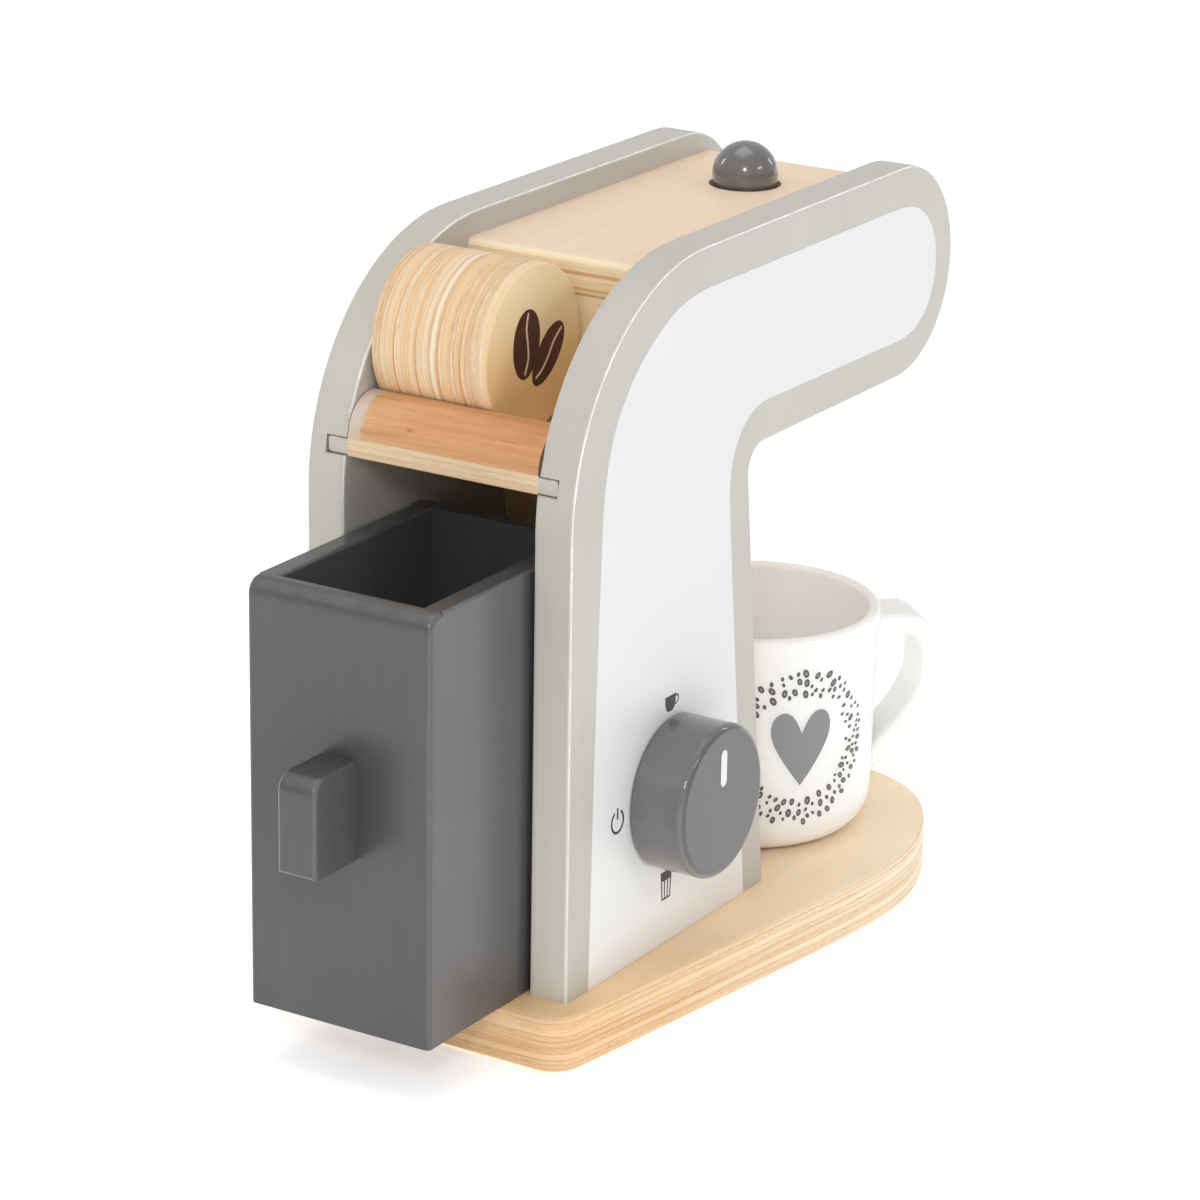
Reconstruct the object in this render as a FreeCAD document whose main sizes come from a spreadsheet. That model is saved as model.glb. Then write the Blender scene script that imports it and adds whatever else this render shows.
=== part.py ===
import FreeCAD, Part
import math
import os
import Sketcher
from FreeCAD import Vector, Rotation, Placement

# Wooden toy coffee maker: two cut-out side panels on a thick ply base, a pull-out
# bin at the back, a hopper of wooden coffee discs above it, a turning dial, a sprung
# push button and a cup.  Millimetres.  +X is the cup side, +Z is up, the dial is on
# the -Y panel, and the origin is on the underside of the base, under the column.

os.makedirs("parts", exist_ok=True)
doc = FreeCAD.newDocument("toy_coffee_maker")

# ------------------------------------------------------------------ dimensions
sheet = doc.addObject("Spreadsheet::Sheet", "Dims")
DIMS = [
    # base board
    ("base_thick", 16.0), ("base_back", -71.0), ("base_corner", 9.0), ("base_ease", 1.2),
    # side panels
    ("panel_thick", 12.0), ("gap_half", 30.5), ("panel_ease", 1.0),
    ("panel_back", -60.0), ("panel_top", 197.0), ("shoulder_rad", 66.0),
    ("nose_rad", 31.45), ("nose_x", 117.3), ("crook_rad", 7.5),
    ("column_foot", 46.0), ("column_lean", 6.334),
    # boards between the panels
    ("front_board_thick", 12.0), ("front_board_set", 2.0), ("arm_board_low", 141.0),
    ("arm_board_thick", 6.0), ("arm_front_x", 124.5), ("arm_front_thick", 6.0),
    ("shelf_top", 146.9), ("shelf_thick", 5.1), ("shelf_back", -58.0), ("shelf_front", 20.0),
    ("shelf_bite", 6.5), ("lip_rad", 11.0), ("lip_flat", 1.0),
    ("roof_top", 190.0), ("roof_thick", 11.0), ("roof_back", 0.0), ("roof_front", 131.5),
    ("roof_round", 3.0), ("plate_back", 1.0), ("plate_thick", 6.0),
    # bin
    ("bin_back", -106.2), ("bin_long", 82.7), ("bin_half", 29.0), ("bin_high", 120.8),
    ("bin_gap", 0.3), ("bin_back_wall", 5.8), ("bin_side_wall", 6.6), ("bin_front_wall", 5.9),
    ("bin_floor_thick", 5.0), ("bin_edge", 1.6), ("bin_crown", 4.6),
    ("pull_deep", 19.0), ("pull_half", 6.0), ("pull_low", 49.5), ("pull_high", 77.3),
    # dial
    ("dial_x", -7.3), ("dial_z", 45.4), ("dial_rad", 21.94), ("dial_thick", 16.5),
    ("dial_gap", 0.4), ("axle_rad", 4.0), ("axle_play", 0.05), ("sink_rad", 9.0), ("sink_deep", 4.0),
    # button
    ("button_x", 99.0), ("button_hole", 10.5), ("ball_rad", 9.6), ("ball_z", 192.9),
    ("ball_flat", 184.5), ("stem_rad", 4.0), ("stem_low", 157.5), ("guide_low", 163.0),
    ("guide_thick", 10.0), ("guide_half_x", 12.0), ("coil_rad", 6.2), ("coil_wire", 0.45), ("button_travel", 6.0),
    # discs
    ("disc_rad", 23.4), ("disc_x", -25.8), ("disc_thick", 6.9), ("disc_front_thick", 8.6),
    ("disc_far", 28.9), ("disc_gap", 0.15), ("disc_edge", 0.7),
    # spout
    ("spout_x", 88.0), ("spout_rad", 8.0), ("spout_tip", 5.5), ("spout_low", 127.0),
    # cup
    ("cup_x", 87.5), ("cup_y", -13.2), ("cup_high", 68.4), ("cup_rim", 37.6), ("cup_foot", 36.1),
    ("cup_corner", 12.0), ("cup_wall", 3.4), ("cup_floor", 4.0), ("grip_angle", -43.0), ("grip_half", 9.0),
]
for i, (name, value) in enumerate(DIMS, 1):
    sheet.set("A%d" % i, name)
    sheet.set("B%d" % i, str(value))
    sheet.setAlias("B%d" % i, name)
doc.recompute()


def S(name):
    return float(sheet.get(name))


T = S("base_thick")
NODES = []


def node(obj, label):
    obj.Label = label
    NODES.append(obj)
    return obj


def bind(obj, **props):
    for key, text in props.items():
        obj.setExpression(key.replace("__", "."), text)
    return obj


def box(name, x0, x1, y0, y1, z0, z1):
    """A block between two expressions on each axis; z is counted from the base's top."""
    o = doc.addObject("Part::Box", name)
    bind(o, Length="(%s) - (%s)" % (x1, x0), Width="(%s) - (%s)" % (y1, y0), Height="(%s) - (%s)" % (z1, z0),
         Placement__Base__x=x0, Placement__Base__y=y0, Placement__Base__z="Dims.base_thick + (%s)" % z0)
    return o


def cyl(name, rad, long, x, y, z, way="z"):
    o = doc.addObject("Part::Cylinder", name)
    rot = {"z": Rotation(), "x": Rotation(Vector(0, 1, 0), 90), "-x": Rotation(Vector(0, 1, 0), -90),
           "y": Rotation(Vector(1, 0, 0), -90), "-y": Rotation(Vector(1, 0, 0), 90)}[way]
    o.Placement = Placement(Vector(0, 0, 0), rot)
    bind(o, Radius=rad, Height=long, Placement__Base__x=x, Placement__Base__y=y,
         Placement__Base__z="Dims.base_thick + (%s)" % z)
    return o


def cut(name, base, tools):
    if len(tools) == 1:
        tool = tools[0]
    else:
        tool = doc.addObject("Part::MultiFuse", name + "_tools")
        tool.Shapes = tools
    o = doc.addObject("Part::Cut", name)
    o.Base = base
    o.Tool = tool
    doc.recompute()
    assert o.Shape.Volume < base.Shape.Volume - 0.5, name + " cut nothing"
    return o


def ease(name, base, pick, rad):
    """Round the edges for which pick(edge) is true."""
    doc.recompute()
    o = doc.addObject("Part::Fillet", name)
    o.Base = base
    o.Edges = [(i, rad, rad) for i, e in enumerate(base.Shape.Edges, 1) if pick(e)]
    doc.recompute()
    assert o.Shape and not o.Shape.isNull() and o.Shape.isValid(), name + " rounding failed"
    return o


def at(e, axis, value, tol=0.02):
    bb = e.BoundBox
    lo, hi = {"x": (bb.XMin, bb.XMax), "y": (bb.YMin, bb.YMax), "z": (bb.ZMin, bb.ZMax)}[axis]
    return abs(lo - value) < tol and abs(hi - value) < tol


def plane(body, role):
    return [f for f in body.Origin.OriginFeatures if f.Role == role][0]


def feature(name, shape):
    o = doc.addObject("Part::Feature", name)
    o.Shape = shape
    return o


# ------------------------------------------------------------------ base board
def side_line():
    """Half outline of the base, from its back corner to its rounded nose, on the -Y side."""
    return [(-62.3, -49.05), (-48.0, -51.2), (-30.0, -53.8), (-12.3, -56.3), (10.1, -59.5), (32.7, -62.7),
            (54.0, -65.5), (71.8, -67.0), (84.6, -66.9), (94.8, -65.5), (104.6, -62.7), (113.8, -59.0),
            (120.8, -55.4), (127.2, -51.0), (133.0, -45.5), (137.3, -39.6), (140.6, -33.0), (142.8, -25.6),
            (144.2, -14.5)]


near = [Vector(x, y, 0) for x, y in side_line()]
far = [Vector(v.x, -v.y, 0) for v in reversed(near)]
nose = Vector(144.6, 0, 0)
flank = Part.BSplineCurve()
lead = Vector(1.0, -0.150, 0).normalize()
flank.interpolate(Points=near + [nose] + far, InitialTangent=lead, FinalTangent=Vector(-lead.x, lead.y, 0))
xb, rb = S("base_back"), S("base_corner")
c1 = Vector(xb, -47.9 + rb * 0.93, 0)
mid1 = Vector(xb + rb * 0.28, -47.9 + rb * 0.20, 0)
arc1 = Part.Arc(c1, mid1, near[0])
arc2 = Part.Arc(far[-1], Vector(mid1.x, -mid1.y, 0), Vector(c1.x, -c1.y, 0))
back = Part.LineSegment(Vector(c1.x, -c1.y, 0), c1)
rim = Part.Wire([arc1.toShape(), flank.toShape(), arc2.toShape(), back.toShape()])
slab = Part.Face(rim).extrude(Vector(0, 0, T))
rims = [e for e in slab.Edges if at(e, "z", 0) or at(e, "z", T)]
slab = slab.makeFillet(S("base_ease"), rims)

SCREWS = [(-42.0, 36.5), (-4.0, 36.5), (33.0, 36.5), (-42.0, -36.5), (-4.0, -36.5), (33.0, -36.5), (38.0, 0.0)]


def screw_shape(x, y):
    # countersunk wood screw driven up through the base
    prof = [(0, 0.4), (3.9, 0.4), (3.9, 0.9), (2.0, 3.0), (2.0, 34.0), (0.6, 38.0), (0, 38.0)]
    face = Part.Face(Part.makePolygon([Vector(r, 0, z) for r, z in prof] + [Vector(0, 0, 0.4)]))
    s = face.revolve(Vector(0, 0, 0), Vector(0, 0, 1), 360)
    slot = Part.makeBox(4.6, 0.9, 0.7, Vector(-2.3, -0.45, 0.4))
    slot2 = Part.makeBox(0.9, 4.6, 0.7, Vector(-0.45, -2.3, 0.4))
    s = s.cut(slot.fuse(slot2))
    s.translate(Vector(x, y, 0))
    return s


def sink_shape(x, y, deep):
    prof = [(0, -0.5), (4.1, -0.5), (4.1, 0.9), (2.0, 3.0), (2.0, deep), (0, deep)]
    face = Part.Face(Part.makePolygon([Vector(r, 0, z) for r, z in prof] + [Vector(0, 0, -0.5)]))
    s = face.revolve(Vector(0, 0, 0), Vector(0, 0, 1), 360)
    s.translate(Vector(x, y, 0))
    return s


for x, y in SCREWS:
    slab = slab.cut(sink_shape(x, y, T + 1))
node(feature("base_board", slab), "base_board")
screws = Part.Compound([screw_shape(x, y) for x, y in SCREWS])
node(feature("base_screws", screws), "base_screws")


# ------------------------------------------------------------------ side panels
def panel_sketch(body):
    sk = body.newObject("Sketcher::SketchObject", body.Name + "_outline")
    sk.AttachmentSupport = [(plane(body, "XZ_Plane"), "")]
    sk.MapMode = "FlatFace"
    lean = math.radians(S("column_lean"))
    top, xb, R, rn, xn, rc = (S("panel_top"), S("panel_back"), S("shoulder_rad"), S("nose_rad"),
                              S("nose_x"), S("crook_rad"))
    low = top - 2 * rn
    foot = S("column_foot")
    V = lambda x, z: Vector(x, z, 0)
    # crook between the leaning column edge and the underside of the arm
    d = Vector(-math.sin(lean), math.cos(lean), 0)
    n = Vector(math.cos(lean), math.sin(lean), 0)
    cz = low - rc
    t = (cz - n.y * rc) / d.y
    cx = foot + d.x * t + n.x * rc
    p1 = V(cx - n.x * rc, cz - n.y * rc)
    p2 = V(cx, low)
    arc = lambda c, r, a0, a1: Part.ArcOfCircle(Part.Circle(c, Vector(0, 0, 1), r), math.radians(a0), math.radians(a1))
    a_crook = 180 + math.degrees(lean)
    g = [Part.LineSegment(V(xb, 0), V(foot, 0)),
         Part.LineSegment(V(foot, 0), p1),
         arc(V(cx, cz), rc, 90, a_crook),
         Part.LineSegment(p2, V(xn, low)),
         arc(V(xn, top - rn), rn, -90, 90),
         Part.LineSegment(V(xn, top), V(xb + R, top)),
         arc(V(xb + R, top - R), R, 90, 180),
         Part.LineSegment(V(xb, top - R), V(xb, 0))]
    sk.addGeometry(g, False)
    C = Sketcher.Constraint
    sk.addConstraint([
        C("Coincident", 0, 2, 1, 1), C("Tangent", 1, 2, 2, 2), C("Tangent", 2, 1, 3, 1),
        C("Tangent", 3, 2, 4, 1), C("Tangent", 4, 2, 5, 1), C("Tangent", 5, 2, 6, 1),
        C("Tangent", 6, 2, 7, 1), C("Coincident", 7, 2, 0, 1),
        C("Horizontal", 0), C("Horizontal", 5), C("Vertical", 7), C("Horizontal", 3)])

    def dim(con, label, text):
        k = sk.addConstraint(con)
        sk.renameConstraint(k, label)
        sk.setExpression("Constraints." + label, text)
    dim(C("DistanceY", -1, 1, 5, 1, top), "top", "Dims.panel_top")
    dim(C("DistanceX", 7, 2, -1, 1, -xb), "back", "-Dims.panel_back")
    dim(C("DistanceX", -1, 1, 0, 2, foot), "foot", "Dims.column_foot")
    dim(C("DistanceX", -1, 1, 4, 3, xn), "nose", "Dims.nose_x")
    dim(C("Radius", 4, rn), "nose_radius", "Dims.nose_rad")
    dim(C("Radius", 6, R), "shoulder", "Dims.shoulder_rad")
    dim(C("Radius", 2, rc), "crook", "Dims.crook_rad")
    sk.addConstraint(C("DistanceY", -1, 1, 0, 1, 0.0))
    return sk


def panel_blank(name, y_text):
    body = doc.addObject("PartDesign::Body", name)
    sk = panel_sketch(body)
    doc.recompute()
    pad = body.newObject("PartDesign::Pad", name + "_pad")
    pad.Profile = sk
    pad.setExpression("Length", "Dims.panel_thick")
    doc.recompute()
    fil = body.newObject("PartDesign::Fillet", name + "_eased")
    th = S("panel_thick")
    names = ["Edge%d" % i for i, e in enumerate(pad.Shape.Edges, 1)
             if (at(e, "y", 0) or at(e, "y", -th)) and e.BoundBox.ZMax > 0.5]
    fil.Base = (pad, names)
    fil.setExpression("Radius", "Dims.panel_ease")
    body.Tip = fil
    bind(body, Placement__Base__y=y_text, Placement__Base__z="Dims.base_thick")
    doc.recompute()
    return body


def dado(name, sign):
    ys = ("-Dims.gap_half - Dims.shelf_bite", "-Dims.gap_half + 1") if sign < 0 else \
         ("Dims.gap_half - 1", "Dims.gap_half + Dims.shelf_bite")
    return box(name, "Dims.panel_back - 5", "Dims.shelf_front", ys[0], ys[1],
               "Dims.shelf_top - Dims.shelf_thick", "Dims.shelf_top")


# dowels between the panels and the boards: (x, z above the base's top)
def front_mid(z):
    return S("column_foot") - S("front_board_set") - S("front_board_thick") / 2 - math.tan(
        math.radians(S("column_lean"))) * z


DOWELS = [(22.0, S("roof_top") - S("roof_thick") / 2), (70.0, S("roof_top") - S("roof_thick") / 2),
          (front_mid(28.0), 28.0), (front_mid(108.0), 108.0)]
DR, DIN, DOUT = 3.0, 10.0, 8.0


def dowel_holes(base, sign):
    tools = []
    g = S("gap_half")
    for k, (x, z) in enumerate(DOWELS):
        y0 = g - DIN if sign > 0 else -g - DOUT
        c = Part.makeCylinder(DR, DIN + DOUT, Vector(x, y0, z + T), Vector(0, 1, 0))
        tools.append(c)
    return feature(base, Part.Compound(tools))


pilots = feature("panel_pilots", Part.Compound([sink_shape(x, y, 38.0) for x, y in SCREWS if abs(y) > 1]))
left_blank = panel_blank("left_blank", "Dims.gap_half + Dims.panel_thick")
right_blank = panel_blank("right_blank", "-Dims.gap_half")
left = cut("left_cut", left_blank, [dado("left_dado", 1)])
left = cut("left_cut_b", left, [dowel_holes("left_dowel_holes", 1)])
left = cut("left_side_panel", left, [pilots])
node(left, "left_side_panel")
right = cut("right_cut", right_blank, [dado("right_dado", -1)])
right = cut("right_cut_b", right, [dowel_holes("right_dowel_holes", -1)])
right = cut("right_cut_c", right, [pilots])
axle_hole = cyl("dial_hole", "Dims.axle_rad + Dims.axle_play", "Dims.panel_thick + 4", "Dims.dial_x",
                "-Dims.gap_half + 2", "Dims.dial_z", "-y")
sink = cyl("dial_sink", "Dims.sink_rad", "Dims.sink_deep + 2", "Dims.dial_x", "-Dims.gap_half + 2", "Dims.dial_z", "-y")
right = cut("right_side_panel", right, [axle_hole, sink])
node(right, "right_side_panel")

# ------------------------------------------------------------------ boards between the panels
g = S("gap_half")
tl = math.tan(math.radians(S("column_lean")))
low = S("arm_board_low")
x0 = S("column_foot") - S("front_board_set")
w = S("front_board_thick") / math.cos(math.radians(S("column_lean")))
slant = Part.Face(Part.makePolygon([Vector(x0, 0, 0), Vector(x0 - tl * low, 0, low), Vector(x0 - w - tl * low, 0, low),
                                    Vector(x0 - w, 0, 0), Vector(x0, 0, 0)])).extrude(Vector(0, 2 * g, 0))
slant.translate(Vector(0, -g, T))
hole = Part.Compound([sink_shape(x, y, 38.0) for x, y in SCREWS if abs(y) < 1]
                     + [Part.makeCylinder(DR, DIN + DOUT, Vector(x, y0, z + T), Vector(0, 1, 0))
                        for x, z in DOWELS[2:] for y0 in (g - DIN, -g - DOUT)])
slant = slant.cut(hole)
node(feature("column_front_board", slant), "column_front_board")

shelf = box("shelf_board", "Dims.shelf_back", "Dims.shelf_front", "-Dims.gap_half - Dims.shelf_bite",
            "Dims.gap_half + Dims.shelf_bite", "Dims.shelf_top - Dims.shelf_thick", "Dims.shelf_top")
node(shelf, "shelf_board")

# quarter-round strip that keeps the discs on the shelf
lip = doc.addObject("PartDesign::Body", "lip_body")
sk = lip.newObject("Sketcher::SketchObject", "lip_profile")
sk.AttachmentSupport = [(plane(lip, "XZ_Plane"), "")]
sk.MapMode = "FlatFace"
lr, lf, lx, lz = S("lip_rad"), S("lip_flat"), S("shelf_back"), S("shelf_top")
sk.addGeometry([
    Part.LineSegment(Vector(lx, lz, 0), Vector(lx + lr + lf, lz, 0)),
    Part.LineSegment(Vector(lx + lr + lf, lz, 0), Vector(lx + lr + lf, lz + lr, 0)),
    Part.LineSegment(Vector(lx + lr + lf, lz + lr, 0), Vector(lx + lr, lz + lr, 0)),
    Part.ArcOfCircle(Part.Circle(Vector(lx + lr, lz, 0), Vector(0, 0, 1), lr), math.radians(90), math.radians(180))],
    False)
C = Sketcher.Constraint
sk.addConstraint([C("Coincident", 0, 2, 1, 1), C("Coincident", 1, 2, 2, 1), C("Coincident", 2, 2, 3, 1),
                  C("Coincident", 3, 2, 0, 1), C("Horizontal", 0), C("Vertical", 1), C("Horizontal", 2)])
for con, label, text in ((C("DistanceX", 0, 1, -1, 1, -lx), "back", "-Dims.shelf_back"),
                         (C("DistanceY", -1, 1, 0, 1, lz), "low", "Dims.shelf_top"),
                         (C("Radius", 3, lr), "round", "Dims.lip_rad"),
                         (C("DistanceX", 2, 2, 2, 1, lf), "flat", "Dims.lip_flat")):
    k = sk.addConstraint(con)
    sk.renameConstraint(k, label)
    sk.setExpression("Constraints." + label, text)
sk.addConstraint(C("PointOnObject", 3, 3, 0))
pad = lip.newObject("PartDesign::Pad", "lip_pad")
pad.Profile = sk
pad.setExpression("Length", "2 * Dims.gap_half")
lip.Tip = pad
bind(lip, Placement__Base__y="Dims.gap_half", Placement__Base__z="Dims.base_thick")
doc.recompute()
node(lip, "retaining_lip")

roof = box("roof_blank", "Dims.roof_back", "Dims.roof_front", "-Dims.gap_half", "Dims.gap_half",
           "Dims.roof_top - Dims.roof_thick", "Dims.roof_top")
xr0, xr1, zr1, zr0 = S("roof_back"), S("roof_front"), T + S("roof_top"), T + S("roof_top") - S("roof_thick")
roof = ease("roof_round_top", roof, lambda e: at(e, "z", zr1) and (at(e, "x", xr0) or at(e, "x", xr1)), S("roof_round"))
roof = ease("roof_round_low", roof, lambda e: at(e, "z", zr0) and (at(e, "x", xr0) or at(e, "x", xr1)), 1.5)
roof = cut("roof_holed", roof, [cyl("button_hole_tool", "Dims.button_hole", "Dims.roof_thick + 2", "Dims.button_x", "0",
                                    "Dims.roof_top - Dims.roof_thick - 1")])
roof_dowels = feature("roof_dowel_holes", Part.Compound(
    [Part.makeCylinder(DR, DIN + DOUT, Vector(x, y0, z + T), Vector(0, 1, 0))
     for x, z in DOWELS[:2] for y0 in (g - DIN, -g - DOUT)]))
roof = cut("top_board", roof, [roof_dowels])
node(roof, "top_board")

plate = box("hopper_front_plate", "Dims.plate_back", "Dims.plate_back + Dims.plate_thick", "-Dims.gap_half",
            "Dims.gap_half", "Dims.shelf_top", "Dims.roof_top - Dims.roof_thick")
node(plate, "hopper_front_plate")

floor = box("arm_floor_blank", "Dims.shelf_front", "Dims.arm_front_x + Dims.arm_front_thick", "-Dims.gap_half",
            "Dims.gap_half", "Dims.arm_board_low", "Dims.arm_board_low + Dims.arm_board_thick")
xa1 = S("arm_front_x") + S("arm_front_thick")
floor = ease("arm_bottom_board", floor, lambda e: at(e, "x", xa1) and at(e, "z", T + low), 2.5)
node(floor, "arm_bottom_board")
front = box("arm_front_board", "Dims.arm_front_x", "Dims.arm_front_x + Dims.arm_front_thick", "-Dims.gap_half",
            "Dims.gap_half", "Dims.arm_board_low + Dims.arm_board_thick", "Dims.roof_top - Dims.roof_thick")
node(front, "arm_front_board")

# round timber dowels, glued half in the boards and half in the panels
dows = []
for x, z in DOWELS:
    for y0 in (g - DIN, -g - DOUT):
        c = Part.makeCylinder(DR, DIN + DOUT, Vector(x, y0, z + T), Vector(0, 1, 0))
        dows.append(c)
node(feature("board_dowels", Part.Compound(dows)), "board_dowels")

# spout under the arm
zs, zl = T + S("arm_board_low"), T + S("spout_low")
rs, rt, xs = S("spout_rad"), S("spout_tip"), S("spout_x")
prof = [(3.0, zs), (rs, zs), (rs, zs - 4.0), (rt, zl + 0.8), (rt - 0.8, zl), (3.0, zl)]
sp = Part.Face(Part.makePolygon([Vector(r, 0, z) for r, z in prof] + [Vector(3.0, 0, zs)]))
sp = sp.revolve(Vector(0, 0, 0), Vector(0, 0, 1), 360)
sp.translate(Vector(xs, 0, 0))
node(feature("spout", sp), "spout")

# ------------------------------------------------------------------ button
bx = S("button_x")
guide = box("guide_blank", "Dims.button_x - Dims.guide_half_x", "Dims.button_x + Dims.guide_half_x",
            "-Dims.gap_half", "Dims.gap_half", "Dims.guide_low", "Dims.guide_low + Dims.guide_thick")
guide = cut("button_guide", guide, [cyl("guide_hole", "Dims.stem_rad + Dims.axle_play", "Dims.guide_thick + 2",
                                        "Dims.button_x", "0", "Dims.guide_low - 1")])
node(guide, "button_guide")

# ball knob, flattened below, with a blind hole for the stem
rb_, zb, zf = S("ball_rad"), T + S("ball_z"), T + S("ball_flat")
ball = doc.addObject("Part::Sphere", "ball_blank")
bind(ball, Radius="Dims.ball_rad", Placement__Base__x="Dims.button_x", Placement__Base__z="Dims.base_thick + Dims.ball_z")
under = box("ball_under", "Dims.button_x - 12", "Dims.button_x + 12", "-12", "12", "Dims.ball_flat - 12", "Dims.ball_flat")
socket = cyl("ball_socket", "Dims.stem_rad", "10", "Dims.button_x", "0", "Dims.ball_flat - 1")
dome = cut("button_dome", ball, [under, socket])
node(dome, "button_dome")
stem = cyl("button_stem", "Dims.stem_rad", "Dims.ball_flat + 9 - Dims.stem_low", "Dims.button_x", "0", "Dims.stem_low")
node(stem, "button_stem")
ring = cyl("collar_blank", "7.0", "2.8", "Dims.button_x", "0", "Dims.guide_low - 3.0")
ring = cut("button_collar", ring, [cyl("collar_hole", "Dims.stem_rad", "5", "Dims.button_x", "0", "Dims.guide_low - 4")])
node(ring, "button_collar")

z_lo = T + S("guide_low") + S("guide_thick") + 0.1
z_hi = T + S("ball_flat") - 0.1
wire_r = S("coil_wire")
span = z_hi - z_lo - 2 * wire_r
helix = Part.makeHelix(span / 4.5, span, S("coil_rad"))
# ten-sided wire, so that the thin coil keeps its section
ring10 = [Vector(S("coil_rad") + wire_r * math.cos(math.radians(36 * k)), 0, wire_r * math.sin(math.radians(36 * k)))
          for k in range(10)]
sec = Part.makePolygon(ring10 + ring10[:1])
coil = Part.Wire(helix).makePipeShell([sec], True, True)
coil.translate(Vector(bx, 0, z_lo + wire_r))
node(feature("button_spring", coil), "button_spring")

# ------------------------------------------------------------------ dial
gp = S("gap_half")
dial = doc.addObject("PartDesign::Body", "dial_body")
sk = dial.newObject("Sketcher::SketchObject", "dial_section")
sk.AttachmentSupport = [(plane(dial, "XZ_Plane"), "")]
sk.MapMode = "FlatFace"
R, th = S("dial_rad"), S("dial_thick")
# half section: local x is the radius, local y is the distance out from the back face
pts = [(4.0, 0), (R, 0), (R, th), (0, th), (0, 10.5), (4.0, 10.5)]
sk.addGeometry([Part.LineSegment(Vector(*pts[i], 0), Vector(*pts[(i + 1) % 6], 0)) for i in range(6)], False)
sk.addConstraint([C("Coincident", i, 2, (i + 1) % 6, 1) for i in range(6)])
sk.addConstraint([C("Horizontal", 0), C("Vertical", 1), C("Horizontal", 2), C("Vertical", 3), C("Horizontal", 4),
                  C("Vertical", 5)])
for con, label, text in ((C("DistanceX", -1, 1, 1, 1, R), "radius", "Dims.dial_rad"),
                         (C("DistanceY", 1, 1, 1, 2, th), "thick", "Dims.dial_thick"),
                         (C("DistanceX", -1, 1, 0, 1, 4.0), "bore", "Dims.axle_rad"),
                         (C("DistanceY", 5, 2, 5, 1, 10.5), "bore_deep", "10.5")):
    k = sk.addConstraint(con)
    sk.renameConstraint(k, label)
    sk.setExpression("Constraints." + label, text)
sk.addConstraint([C("DistanceY", -1, 1, 0, 1, 0.0), C("DistanceX", -1, 1, 3, 1, 0.0)])
rev = dial.newObject("PartDesign::Revolution", "dial_turned")
rev.Profile = sk
rev.ReferenceAxis = (sk, ["V_Axis"])
rev.Angle = 360
doc.recompute()
fil = dial.newObject("PartDesign::Fillet", "dial_eased")
fil.Base = (rev, ["Edge%d" % i for i, e in enumerate(rev.Shape.Edges, 1) if at(e, "z", th) and e.BoundBox.XMax > R - 0.1])
fil.Radius = 2.0
doc.recompute()
fil2 = dial.newObject("PartDesign::Fillet", "dial_back_eased")
fil2.Base = (fil, ["Edge%d" % i for i, e in enumerate(fil.Shape.Edges, 1) if at(e, "z", 0) and e.BoundBox.XMax > R - 0.1])
fil2.Radius = 0.6
dial.Tip = fil2
dial.Placement = Placement(Vector(0, 0, 0), Rotation(Vector(1, 0, 0), 90))
bind(dial, Placement__Base__x="Dims.dial_x", Placement__Base__y="-Dims.gap_half - Dims.panel_thick - Dims.dial_gap",
     Placement__Base__z="Dims.base_thick + Dims.dial_z")
doc.recompute()
node(dial, "knob")

y_sink = gp + S("sink_deep")
axle = cyl("axle_blank", "Dims.axle_rad", "Dims.panel_thick - Dims.sink_deep + 0.2 + Dims.dial_gap + 10.4", "Dims.dial_x",
           "-Dims.gap_half - Dims.sink_deep + 0.2", "Dims.dial_z", "-y")
axle = cut("knob_axle", axle, [cyl("axle_pilot", "1.5", "15", "Dims.dial_x", "-Dims.gap_half - Dims.sink_deep + 1.2",
                                   "Dims.dial_z", "-y")])
node(axle, "knob_axle")
wash = cyl("washer_blank", "7.6", "1.2", "Dims.dial_x", "-Dims.gap_half - Dims.sink_deep + 1.4", "Dims.dial_z", "-y")
wash = cut("knob_washer", wash, [cyl("washer_hole", "1.5", "4", "Dims.dial_x", "-Dims.gap_half - Dims.sink_deep + 3",
                                     "Dims.dial_z", "-y")])
node(wash, "knob_washer")
yh = -gp - S("sink_deep") + 1.4
head = Part.makeCylinder(3.4, 1.9, Vector(S("dial_x"), yh + 1.9, T + S("dial_z")), Vector(0, -1, 0))
shank = Part.makeCylinder(1.5, 14.6, Vector(S("dial_x"), yh, T + S("dial_z")), Vector(0, -1, 0))
sl1 = Part.makeBox(4.2, 1.0, 0.8, Vector(S("dial_x") - 2.1, yh + 1.1, T + S("dial_z") - 0.4))
sl2 = Part.makeBox(0.8, 1.0, 4.2, Vector(S("dial_x") - 0.4, yh + 1.1, T + S("dial_z") - 2.1))
node(feature("knob_screw", head.fuse(shank).removeSplitter().cut(sl1.fuse(sl2))), "knob_screw")

# ------------------------------------------------------------------ bin
bb = S("bin_back")
zb0, zb1 = "Dims.bin_gap", "Dims.bin_gap + Dims.bin_high"
rear = box("bin_rear_blank", "Dims.bin_back", "Dims.bin_back + Dims.bin_back_wall", "-Dims.bin_half", "Dims.bin_half", zb0, zb1)
top_z = T + S("bin_gap") + S("bin_high")
low_z = T + S("bin_gap")
rear = ease("bin_rear_crown", rear, lambda e: at(e, "z", top_z) and at(e, "x", bb), S("bin_crown"))
hb = S("bin_half")
rear = ease("bin_rear_sides", rear, lambda e: at(e, "x", bb) and (at(e, "y", hb) or at(e, "y", -hb)), S("bin_edge"))
rear_hole = cyl("pull_screw_hole", "1.75", "Dims.bin_back_wall + 2", "Dims.bin_back - 1", "0",
                "(Dims.pull_low + Dims.pull_high) / 2", "x")
rear_sink = cyl("pull_screw_sink", "3.6", "4", "Dims.bin_back + Dims.bin_back_wall - 2.2", "0",
                "(Dims.pull_low + Dims.pull_high) / 2", "x")
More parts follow.
